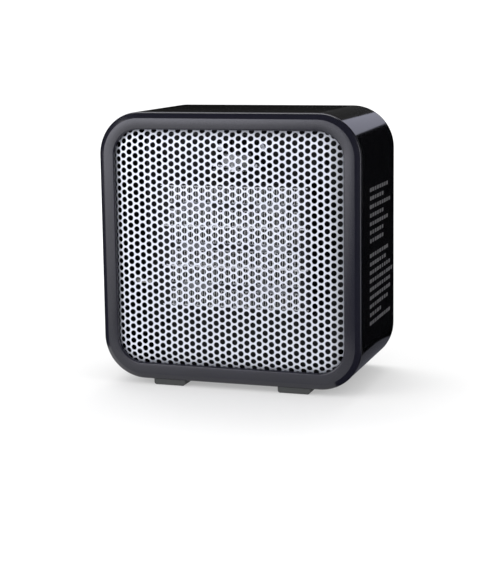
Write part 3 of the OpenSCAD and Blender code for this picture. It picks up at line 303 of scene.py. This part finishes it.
FINISHES = {
    # Piano-black ABS from a polished mould: deep black, mirror-clear with a hint of orange peel
    "shell_gloss_black": moulded("polished black ABS", "#08080a", "#0b0b0d", 0.07, 2.2, 0.004, {"IOR": 1.53}),
    # ABS from a lightly sparked mould: dark slate grey, a soft even sheen
    "bezel_satin_grey": moulded("satin slate ABS", "#13131c", "#171722", 0.24, 0.35, 0.02, {"IOR": 1.53}),
    # Silver lacquer on perforated sheet steel: near white where it faces the light, painted shade in the
    # holes' walls
    "grille_silver_steel": punched_sheet(),
    # Thermoplastic rubber feet: dull, a little greener than the bezel
    "foot_plastic": moulded("dull grey rubber", "#2e302f", "#363837", 0.62, 0.3, 0.03, {"IOR": 1.5}),
    # Printed foil label: pale silver with a soft sheen
    "label_foil": drawn_metal("silver label foil", "#b9bcc0", "#a9adb2", 0.35, (1, 30, 1), 0.2),
    # Glass-filled nylon of the air duct: black with a dry, slightly mottled skin
    "duct_black_plastic": moulded("glass-filled black nylon", "#070709", "#0c0c0e", 0.6, 0.5, 0.03,
                                  {"IOR": 1.53}),
    # Folded aluminium foil: bright front edges, walls with painted shade down in the folds
    "fin_aluminium": folded_foil(min(v.co.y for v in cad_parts["element_fins"].data.vertices)),
    # Plain aluminium strip of the element's frames
    "plate_aluminium": drawn_metal("aluminium strip", "#f2f3f6", "#e6e8ec", 0.38, (20, 1, 1), 0.2,
                                   metallic=0.5),
    # Electrode sheets: thinner and duller aluminium with glue haze
    "electrode_aluminium": drawn_metal("hazed aluminium sheet", "#b4b8be", "#a2a6ac", 0.5, (20, 1, 1), 0.3),
    # Barium titanate heating stones: matt mid grey with fine dark specks
    "ptc_ceramic": fired_ceramic("barium titanate ceramic", "#9a9da3", "#7d8087", 0.65, 0.5),
    # Heat-proof resin of the element's spacers and end caps: matt black
    "carrier_plastic": moulded("black phenolic resin", "#151517", "#1e1e20", 0.6, 0.4, 0.03, {"IOR": 1.6}),
    # Stamped brass tongues: warm yellow, lightly brushed
    "terminal_brass": drawn_metal("stamped brass", "#d9b96c", "#c7a45a", 0.3, (12, 1, 1), 0.15),
    # Steatite body of the thermostat: fired pale grey, matt
    "thermostat_ceramic": fired_ceramic("grey steatite", "#b9bbbf", "#a4a6aa", 0.5, 0.35),
    # Drawn aluminium cup of the thermostat: bright with drawing lines round it
    "thermostat_aluminium": drawn_metal("drawn aluminium cup", "#eceef1", "#dfe2e6", 0.3, (1, 1, 14), 0.2,
                                        metallic=0.6),
    # Black-oxide sheet steel of brackets and clips: blue-black, oily
    "bracket_steel": drawn_metal("black-oxide sheet steel", "#1b1c1f", "#141517", 0.42, (10, 1, 1), 0.25),
    # Aluminium rivets: bright, hammered soft
    "rivet_aluminium": drawn_metal("aluminium rivet", "#cfd2d6", "#bcc0c5", 0.4, (1, 1, 1), 0.3),
    # Varnished glass-fibre sleeve round the fuse: black, woven in rings
    "fuse_sleeve": banded("varnished glass-fibre sleeve", "#0d0d0f", "#1c1c1f", 0.5, 0.0, "Z", 0.7, 0.05),
    # Fan of glass-filled polypropylene: dark grey, waxy
    "fan_plastic": moulded("dark polypropylene", "#242427", "#2e2e31", 0.4, 0.8, 0.02, {"IOR": 1.49}),
    # Blued spring steel of the clip and spring
    "spring_steel": drawn_metal("spring steel", "#9a9ea5", "#868b93", 0.26, (1, 1, 8), 0.15),
    # Ground steel shaft: bright with very fine lines round it
    "shaft_steel": drawn_metal("ground steel", "#d6d9dd", "#c9ccd1", 0.2, (1, 12, 1), 0.1),
    # Cast aluminium cage of the rotor: dull silver
    "rotor_aluminium": drawn_metal("cast aluminium", "#adb1b6", "#989ca2", 0.48, (1, 1, 1), 0.5, 0.03),
    # Natural nylon washers: milky white
    "washer_nylon": moulded("natural nylon", "#e6e2d6", "#efece3", 0.42, 0.6, 0.02, {"IOR": 1.53}),
    # Stator of punched electrical steel sheets, half a millimetre each
    "stator_steel": banded("laminated electrical steel", "#4d5156", "#85898f", 0.42, 1.0, "Y", 0.5, 0.05),
    # Bent copper rod of the shading rings: salmon with a brown haze
    "ring_copper": drawn_metal("bare copper", "#c98562", "#b06c4c", 0.34, (1, 8, 1), 0.2),
    # Nylon bobbin: cream
    "bobbin_nylon": moulded("cream nylon", "#d8d1bd", "#e4dece", 0.45, 0.6, 0.02, {"IOR": 1.53}),
    # Enamelled winding wire, laid side by side: glossy reddish copper with dark grooves
    "coil_copper": banded("enamelled copper wire", "#5c2412", "#c0663a", 0.28, 1.0, "X", 0.45, 0.12),
    # Die-cast zinc of the motor's bridges: matt light grey
    "bridge_alloy": drawn_metal("die-cast zinc", "#b9bcc1", "#a6aab0", 0.5, (1, 1, 1), 0.4, 0.03),
    # Sintered bronze bearings: oily, fine-grained brown gold
    "bearing_bronze": drawn_metal("sintered bronze", "#b08d57", "#94713f", 0.42, (1, 1, 1), 0.12, 0.02),
    # Zinc-plated screws: cool bright silver
    "screw_zinc": drawn_metal("zinc-plated screw steel", "#c8cbd0", "#b4b8be", 0.27, (1, 1, 1), 0.2),
    # Black-oxide duct screws: dark with a faint sheen
    "screw_black": drawn_metal("black-oxide screw steel", "#1a1b1e", "#121315", 0.4, (1, 1, 1), 0.2),
    # Silicone boots over the push-on terminals: matt black rubber
    "boot_silicone": moulded("black silicone rubber", "#0e0e10", "#151517", 0.6, 0.4, 0.02, {"IOR": 1.43}),
    # Polycarbonate of the switch: black with a fine satin skin
    "switch_plastic": moulded("black polycarbonate", "#131315", "#19191b", 0.3, 0.3, 0.01, {"IOR": 1.58}),
    # Phenolic tip-over switch: brick red
    "tip_switch_plastic": moulded("red phenolic resin", "#85302b", "#963a33", 0.45, 0.4, 0.02, {"IOR": 1.6}),
    # Acetal plunger: white and waxy
    "plunger_plastic": moulded("white acetal", "#dedfdb", "#e8e8e5", 0.38, 0.8, 0.01, {"IOR": 1.48}),
    # Nylon cord gland: matt black
    "gland_plastic": moulded("black nylon", "#161618", "#1e1e20", 0.5, 0.35, 0.02, {"IOR": 1.53}),
    # Soft PVC sleeves of the leads
    "lead_black": moulded("black PVC sleeve", "#1f1f22", "#2a2a2d", 0.4, 0.5, 0.01, {"IOR": 1.54}),
    "lead_white": moulded("white PVC sleeve", "#d8d8d3", "#e3e3df", 0.4, 0.5, 0.01, {"IOR": 1.54}),
}

# Pad-printed ink: flat mid grey with a trace of the plastic's gloss
print_ink = moulded("grey pad-printing ink", "#4a4a4c", "#525254", 0.45, 0.2, 0.005, {"IOR": 1.5})

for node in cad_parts.values():
    for place in node.material_slots:
        place.material = FINISHES[place.material.name]

# ---------------------------------------------------------------- swept pieces


def soft_outline(corners, steps=4):
    """Rounds an outline's corners: each is (outwards, back, radius), in mm."""
    points = []
    for i, (x, y, radius) in enumerate(corners):
        here = Vector((x, y))
        if radius == 0:
            points.append(here)
            continue
        before = (Vector(corners[i - 1][:2]) - here).normalized()
        after = (Vector(corners[(i + 1) % len(corners)][:2]) - here).normalized()
        half = before.angle(after) / 2
        reach = radius / math.tan(half)
        middle = here + (before + after).normalized() * (radius / math.sin(half))
        first = here + before * reach - middle
        swing = first.angle_signed(here + after * reach - middle)
        for k in range(steps + 1):
            points.append(middle + Matrix.Rotation(-swing * k / steps, 2) @ first)
    return points


def swept_round(name, outline, turns=24):
    """Sweeps a closed outline round the body's rounded square, into one closed mesh."""
    form = bmesh.new()
    rings = []
    for corner in range(4):
        for k in range(turns + 1):
            angle = math.radians(90 * corner + 90 * k / turns)
            diagonal = math.radians(90 * corner + 45)
            centre = Vector((math.copysign(CORNER_X, math.cos(diagonal)),
                             math.copysign(CORNER_X, math.sin(diagonal))))
            ring = []
            for point in outline:
                x = centre.x + point.x * math.cos(angle)
                z = centre.y + point.x * math.sin(angle)
                ring.append(form.verts.new(Vector((x, FRONT_Y + point.y, AXIS_Z + z)) * MM))
            rings.append(ring)
    for a, b in zip(rings, rings[1:] + rings[:1]):
        for i in range(len(outline)):
            j = (i + 1) % len(outline)
            form.faces.new((a[i], a[j], b[j], b[i]))
    bmesh.ops.recalc_face_normals(form, faces=form.faces)
    mesh = finished_mesh(name, form)
    mesh.shade_smooth()
    mesh.set_sharp_from_angle(angle=math.radians(35))
    return mesh


bezel_outline = soft_outline([
    (LIP_R, 0, 0.8), (FACE_R, 0, 0.4), (EDGE_R, SLOPE_D, 1.1), (EDGE_R, LIP_T, 0.05),
    (SPIGOT_R, LIP_T, 0), (SPIGOT_R, SPIGOT_END, 0.4), (SPIGOT_R - SPIGOT_T, SPIGOT_END, 0.4),
    (SPIGOT_R - SPIGOT_T, LIP_T, 0), (LIP_R + LIP_RELIEF, LIP_T, 0.1), (LIP_R, LIP_T - LIP_RELIEF, 0.1)])
bezel = piece("bezel_frame", swept_round("bezel_frame", bezel_outline), FINISHES["bezel_satin_grey"])

rim_outline = soft_outline([
    (RIM_FRONT_R, RIM_DEPTH, 0), (RIM_R, RIM_DEPTH, 0.2), (RIM_R, RIM_DEPTH + SHEET_T, 0.2),
    (RIM_BACK_R, RIM_DEPTH + SHEET_T, 0)])
piece("grille_rim", swept_round("grille_rim", rim_outline), FINISHES["grille_silver_steel"])

# ---------------------------------------------------------------- perforated grille


def hole_cell():
    """One six-sided cell of sheet round a punched hole, its front edge broken by the punch."""
    form = bmesh.new()
    steps = 18
    radius = HOLE_D / 2
    burr = 0.06

    def ring(r, y, count=steps):
        turns = [2 * math.pi * k / count for k in range(count)]
        return [form.verts.new(Vector((r * math.cos(a), y, r * math.sin(a))) * MM) for a in turns]

    def border(y):
        return ring(HOLE_PITCH / math.sqrt(3), y, 6)

    def apron(outer, inner, front):
        for side in range(6):
            a, b = outer[side], outer[(side + 1) % 6]
            low = side * 3
            fan = [inner[(low + k) % steps] for k in range(4)]
            for tri in ((a, fan[0], fan[1]), (a, fan[1], fan[2]), (a, fan[2], b), (b, fan[2], fan[3])):
                form.faces.new(tri if front else tri[::-1])

    front_rim, edge_rim, back_rim = ring(radius + burr, 0), ring(radius, burr), ring(radius, SHEET_T)
    apron(border(0), front_rim, True)
    apron(border(SHEET_T), back_rim, False)
    for upper, lower in ((front_rim, edge_rim), (edge_rim, back_rim)):
        for k in range(steps):
            n = (k + 1) % steps
            form.faces.new((upper[k], lower[k], lower[n], upper[n]))
    return finished_mesh("hole_cell", form)


def perforated_tray():
    """Tree that tiles a cell in staggered columns and rolls the margin of the sheet backwards."""
    tree, given = started_tree(
        "perforated tray", "Cell",
        ("Hole Pitch", "Thickness", "Core Half", "Flat Radius", "Bend Radius", "Bend Arc", "Kept Radius"),
        ("Columns", "Rows"), "Centre")
    sum_of = functools.partial(arithmetic, tree)

    def off_core(x, z):
        """A place against the square through the corner centres: its foot there, offset and distance."""
        low = sum_of("MULTIPLY", given["Core Half"], -1.0)
        foot_x = sum_of("MINIMUM", sum_of("MAXIMUM", x, low), given["Core Half"])
        foot_z = sum_of("MINIMUM", sum_of("MAXIMUM", z, low), given["Core Half"])
        foot = add(tree, "ShaderNodeCombineXYZ", {}, {"X": foot_x, "Z": foot_z}).outputs[0]
        flat = add(tree, "ShaderNodeCombineXYZ", {}, {"X": x, "Z": z}).outputs[0]
        offset = add(tree, "ShaderNodeVectorMath", {"operation": "SUBTRACT"}, {0: flat, 1: foot}).outputs[0]
        length = add(tree, "ShaderNodeVectorMath", {"operation": "LENGTH"}, {0: offset}).outputs["Value"]
        return foot, offset, length

    # staggered columns of points
    column_pitch = sum_of("MULTIPLY", given["Hole Pitch"], math.sqrt(3) / 2)
    wide = sum_of("MULTIPLY", sum_of("SUBTRACT", given["Columns"], 1.0), column_pitch)
    high = sum_of("MULTIPLY", sum_of("SUBTRACT", given["Rows"], 1.0), given["Hole Pitch"])
    grid = add(tree, "GeometryNodeMeshGrid", {},
               {"Size X": wide, "Size Y": high, "Vertices X": given["Columns"],
                "Vertices Y": given["Rows"]}).outputs["Mesh"]
    spot = position(tree)
    column = sum_of("ROUND", sum_of("DIVIDE", spot["X"], column_pitch))
    odd = sum_of("FLOORED_MODULO", column, 2.0)
    shifted = sum_of("ADD", spot["Y"], sum_of("MULTIPLY", sum_of("MULTIPLY", odd, 0.5), given["Hole Pitch"]))
    upright = add(tree, "ShaderNodeCombineXYZ", {}, {"X": spot["X"], "Z": shifted}).outputs[0]
    points = add(tree, "GeometryNodeSetPosition", {}, {"Geometry": grid, "Position": upright}).outputs[0]
    here = position(tree)
    reach = off_core(here["X"], here["Z"])[2]
    beyond = add(tree, "FunctionNodeCompare", {"operation": "GREATER_THAN"},
                 {"A": reach, "B": given["Kept Radius"]})
    kept = add(tree, "GeometryNodeDeleteGeometry", {"domain": "POINT"},
               {"Geometry": points, "Selection": beyond.outputs[0]}).outputs[0]
    tiled = add(tree, "GeometryNodeInstanceOnPoints", {}, {"Points": kept, "Instance": given["Cell"]})
    solid = add(tree, "GeometryNodeRealizeInstances", {}, {"Geometry": tiled.outputs[0]})
    sheet = add(tree, "GeometryNodeMergeByDistance", {"Distance": 0.02 * MM}, {"Geometry": solid.outputs[0]})

    # how deep each point lies in the sheet, kept for the finish
    share = sum_of("DIVIDE", position(tree)["Y"], given["Thickness"])
    kept_depth = {"data_type": "FLOAT", "domain": "POINT", "Name": "depth"}
    sheet = add(tree, "GeometryNodeStoreNamedAttribute", kept_depth,
                {"Geometry": sheet.outputs[0], "Value": share}).outputs[0]

    # the margin rolled back about the bend's axis
    flat = position(tree)
    foot, offset, length = off_core(flat["X"], flat["Z"])
    past = sum_of("MAXIMUM", sum_of("SUBTRACT", length, given["Flat Radius"]), 0.0)
    run = sum_of("MINIMUM", past, given["Bend Arc"])
    angle = sum_of("DIVIDE", run, given["Bend Radius"])
    lever = sum_of("SUBTRACT", given["Bend Radius"], flat["Y"])
    inner = sum_of("MINIMUM", length, given["Flat Radius"])
    outwards = sum_of("ADD", inner, sum_of("MULTIPLY", lever, sum_of("SINE", angle)))
    back = sum_of("SUBTRACT", given["Bend Radius"], sum_of("MULTIPLY", lever, sum_of("COSINE", angle)))
    unit = add(tree, "ShaderNodeVectorMath", {"operation": "NORMALIZE"}, {0: offset}).outputs[0]
    spread = add(tree, "ShaderNodeVectorMath", {"operation": "SCALE"},
                 {0: unit, "Scale": outwards}).outputs[0]
    behind = add(tree, "ShaderNodeCombineXYZ", {}, {"Y": back}).outputs[0]
    placed = foot
    for part in (spread, behind, given["Centre"]):
        placed = add(tree, "ShaderNodeVectorMath", {"operation": "ADD"}, {0: placed, 1: part}).outputs[0]
    rolled = add(tree, "GeometryNodeSetPosition", {}, {"Geometry": sheet, "Position": placed}).outputs[0]
    end_tree(tree, rolled, given["Finish"])
    return tree


def grown(name, mesh, tree, values):
    """Runs a Geometry Nodes tree on a mesh with named inputs, and returns the plain mesh that it makes."""
    seed = bpy.data.objects.new(name, mesh)
    scene.collection.objects.link(seed)
    modifier = seed.modifiers.new(name, "NODES")
    modifier.node_group = tree
    for item in tree.interface.items_tree:
        if item.in_out == "INPUT" and item.name in values:
            modifier[item.identifier] = values[item.name]
    ready = bpy.context.evaluated_depsgraph_get()
    made = bpy.data.meshes.new_from_object(seed.evaluated_get(ready), depsgraph=ready)
    made.name = name
    bpy.data.objects.remove(seed)
    return made


grille_mesh = grown("grille_sheet", hole_cell(), perforated_tray(), {
    "Hole Pitch": HOLE_PITCH * MM, "Thickness": SHEET_T * MM, "Core Half": CORNER_X * MM,
    "Flat Radius": FLAT_R * MM, "Bend Radius": BEND_R * MM, "Bend Arc": BEND_ARC * MM,
    "Kept Radius": KEPT_R * MM, "Columns": HOLE_COLUMNS, "Rows": HOLE_ROWS,
    "Centre": Vector((0, SHEET_Y, AXIS_Z)) * MM, "Finish": FINISHES["grille_silver_steel"]})
edge = bmesh.new()
edge.from_mesh(grille_mesh)
bmesh.ops.bridge_loops(edge, edges=[e for e in edge.edges if e.is_boundary])
edge.to_mesh(grille_mesh)
edge.free()
grille_mesh.shade_smooth()
grille_mesh.set_sharp_from_angle(angle=math.radians(32))
grille = piece("grille_sheet", grille_mesh, FINISHES["grille_silver_steel"])
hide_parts("front_bezel")
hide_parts("front_grille")

# ---------------------------------------------------------------- print on the right side


def ink_bar():
    """A flat bar of ink, a millimetre square, with round corners; it lies against the side."""
    form = bmesh.new()
    outline = soft_outline([(-0.5, -0.5, 0.12), (0.5, -0.5, 0.12), (0.5, 0.5, 0.12), (-0.5, 0.5, 0.12)], 2)
    under, over = [[form.verts.new(Vector((x, p.x, p.y)) * MM) for p in outline] for x in (0, 0.03)]
    form.faces.new(over)
    form.faces.new(under[::-1])
    for k in range(len(outline)):
        n = (k + 1) % len(outline)
        form.faces.new((under[k], under[n], over[n], over[k]))
    bmesh.ops.recalc_face_normals(form, faces=form.faces)
    return finished_mesh("ink_bar", form)


def printed_rows():
    """Tree that sets bars of uneven length in rows, like a block of small print without letters."""
    tree, given = started_tree(
        "printed rows", "Bar", ("Row Pitch", "Row Height", "Slot", "Shortest", "Longest"),
        ("Rows", "Slots", "Seed"), "Start")
    sum_of = functools.partial(arithmetic, tree)

    grid = add(tree, "GeometryNodeMeshGrid", {"Size X": 1.0, "Size Y": 1.0},
               {"Vertices X": given["Slots"], "Vertices Y": given["Rows"]}).outputs["Mesh"]
    index = add(tree, "GeometryNodeInputIndex", {}).outputs[0]
    slot = sum_of("FLOOR", sum_of("DIVIDE", index, given["Rows"]))
    row = sum_of("FLOORED_MODULO", index, given["Rows"])
    along = sum_of("MULTIPLY", slot, given["Slot"])
    down = sum_of("MULTIPLY", row, given["Row Pitch"])
    place = add(tree, "ShaderNodeCombineXYZ", {}, {"Y": along, "Z": sum_of("MULTIPLY", down, -1.0)})
    placed = add(tree, "ShaderNodeVectorMath", {"operation": "ADD"},
                 {0: place.outputs[0], 1: given["Start"]}).outputs[0]
    points = add(tree, "GeometryNodeSetPosition", {}, {"Geometry": grid, "Position": placed}).outputs[0]
    row_length = add(tree, "FunctionNodeRandomValue", {"data_type": "FLOAT"},
                     {2: given["Shortest"], 3: given["Longest"], "ID": row,
                      "Seed": given["Seed"]}).outputs[1]
    beyond = add(tree, "FunctionNodeCompare", {"operation": "GREATER_THAN"}, {"A": along, "B": row_length})
    kept = add(tree, "GeometryNodeDeleteGeometry", {"domain": "POINT"},
               {"Geometry": points, "Selection": beyond.outputs[0]}).outputs[0]
    share = add(tree, "FunctionNodeRandomValue", {"data_type": "FLOAT", 2: 0.62, 3: 0.92},
                {"ID": index, "Seed": given["Seed"]}).outputs[1]
    width = sum_of("DIVIDE", sum_of("MULTIPLY", share, given["Slot"]), MM)
    height = sum_of("DIVIDE", given["Row Height"], MM)
    size = add(tree, "ShaderNodeCombineXYZ", {"X": 1.0}, {"Y": width, "Z": height}).outputs[0]
    bars = add(tree, "GeometryNodeInstanceOnPoints", {},
               {"Points": kept, "Instance": given["Bar"], "Scale": size}).outputs[0]
    end_tree(tree, bars, given["Finish"])
    return tree


rows_tree = printed_rows()
for name, rows, top, shortest, longest, seed in (("side_print_upper", 7, 108.6, 28, 46, 4),
                                                 ("side_print_lower", 9, 73.2, 22, 54, 11)):
    block = grown(name, ink_bar(), rows_tree, {
        "Row Pitch": PRINT_PITCH * MM, "Row Height": PRINT_HEIGHT * MM, "Slot": PRINT_SLOT * MM,
        "Shortest": shortest * MM, "Longest": longest * MM, "Rows": rows, "Slots": PRINT_SLOTS, "Seed": seed,
        "Start": Vector((BODY_W / 2, PRINT_Y, top)) * MM, "Finish": print_ink})
    piece(name, block, print_ink)

# ---------------------------------------------------------------- studio


def opal_acrylic(name):
    """Opal acrylic of a shooting table with a painted glow that lifts the shadows on it, weaker near the
    middle and stronger away from it.
    """
    made = bpy.data.materials.new(name)
    made.use_nodes = True
    tree = made.node_tree
    surface = tree.nodes["Principled BSDF"]
    surface.inputs["Roughness"].default_value = 1.0
    surface.inputs["Specular IOR Level"].default_value = 0.0
    surface.inputs["Emission Color"].default_value = colour("#ffffff")
    place = add(tree, "ShaderNodeTexCoord", {}).outputs["Object"]
    away = add(tree, "ShaderNodeVectorMath", {"operation": "LENGTH"}, {0: place}).outputs["Value"]
    # painted glow: emission standing in for light, 0.36 near the heater rising to 0.62 away from it, so the
    # shadows round the heater are lifted and the far table stays white
    painted_glow = add(tree, "ShaderNodeMapRange", {"From Min": 0.12, "From Max": 0.7, "To Min": 0.36, "To Max": 0.62},
              {"Value": away})
    tree.links.new(painted_glow.outputs["Result"], surface.inputs["Emission Strength"])
    cloud = add(tree, "ShaderNodeTexNoise", {"Scale": 2.0}, {"Vector": place})
    tone = add(tree, "ShaderNodeMix", {"data_type": "RGBA", 6: colour("#b3b3b3"), 7: colour("#b5b5b5")},
               {0: cloud.outputs["Fac"]})
    tree.links.new(tone.outputs[2], surface.inputs["Base Color"])
    return made


def floor_part(name, x0, x1, y0, y1, finish):
    """A flat part of the floor, given in metres."""
    mesh = bpy.data.meshes.new(name)
    mesh.from_pydata([(x0, y0, 0), (x1, y0, 0), (x1, y1, 0), (x0, y1, 0)], [], [(0, 1, 2, 3)])
    mesh.materials.append(finish)
    obj = bpy.data.objects.new(name, mesh)
    scene.collection.objects.link(obj)
    return obj


# the table's edges in metres, and those of the part under the heater
FAR = 6
FAR_BACK = 9
NEAR_LEFT = -0.12
NEAR_RIGHT = 0.06
NEAR_FRONT = -0.16
NEAR_BACK = 0.1

acrylic = opal_acrylic("opal acrylic table")
# only the table in front on the left and close under the heater shows in its gloss
floor_part("floor_front_left", -FAR, NEAR_LEFT, -FAR, NEAR_FRONT, acrylic)
floor_part("floor_near", NEAR_LEFT, NEAR_RIGHT, NEAR_FRONT, NEAR_BACK, acrylic)
for name, x0, x1, y0, y1 in (("floor_front_right", NEAR_LEFT, FAR, -FAR, NEAR_FRONT),
                             ("floor_left", -FAR, NEAR_LEFT, NEAR_FRONT, NEAR_BACK),
                             ("floor_right", NEAR_RIGHT, FAR, NEAR_FRONT, NEAR_BACK),
                             ("floor_back", -FAR, FAR, NEAR_BACK, FAR_BACK)):
    floor_part(name, x0, x1, y0, y1, acrylic).visible_glossy = False


def softbox(name, place, aim, wide, high, glow, tint="#ffffff"):
    """A soft panel of light in metres, as bright as glow when seen."""
    lamp = bpy.data.lights.new(name, "AREA")
    lamp.color = colour(tint)[:3]
    lamp.shape = "RECTANGLE"
    lamp.size = wide
    lamp.size_y = high
    lamp.energy = glow * math.pi * wide * high
    obj = bpy.data.objects.new(name, lamp)
    scene.collection.objects.link(obj)
    obj.location = place
    obj.rotation_mode = "QUATERNION"
    obj.rotation_quaternion = (Vector(aim) - Vector(place)).to_track_quat("-Z", "Y")


softbox("key_panel", (-1.4, -1.25, 0.9), (0, 0, 0.07), 1.2, 1.2, 2.4)
softbox("front_panel", (-0.75, -1.5, 0.3), (0, 0, 0.08), 0.9, 0.6, 4.4, "#f2f2ff")
softbox("right_strip", (1.2, -0.25, 0.2), (0, 0, 0.08), 0.4, 0.9, 4.0)
softbox("top_panel", (-0.3, 0.7, 1.4), (0, 0, 0.07), 1.4, 0.8, 4.0)
softbox("rear_panel", (0.24, 1.5, 0.56), (0, 0, 0.08), 0.5, 0.26, 0.75, "#e9eaff")
# seen through the table by the gloss alone, as a dim patch on the lower right corner
softbox("low_panel", (0.035, 0.15, -0.05), (0.035, 0.15, 1.0), 0.16, 0.2, 0.11, "#e9eaff")
softbox("rear_left_panel", (-0.8, 2.2, 0.62), (0, 0, 0.15), 1.6, 0.66, 0.045)

scene.world = bpy.data.worlds.new("studio")
scene.world.use_nodes = True
air = scene.world.node_tree.nodes["Background"]
air.inputs["Color"].default_value = colour("#ffffff")
air.inputs["Strength"].default_value = 1.12
scene.world.cycles_visibility.glossy = False
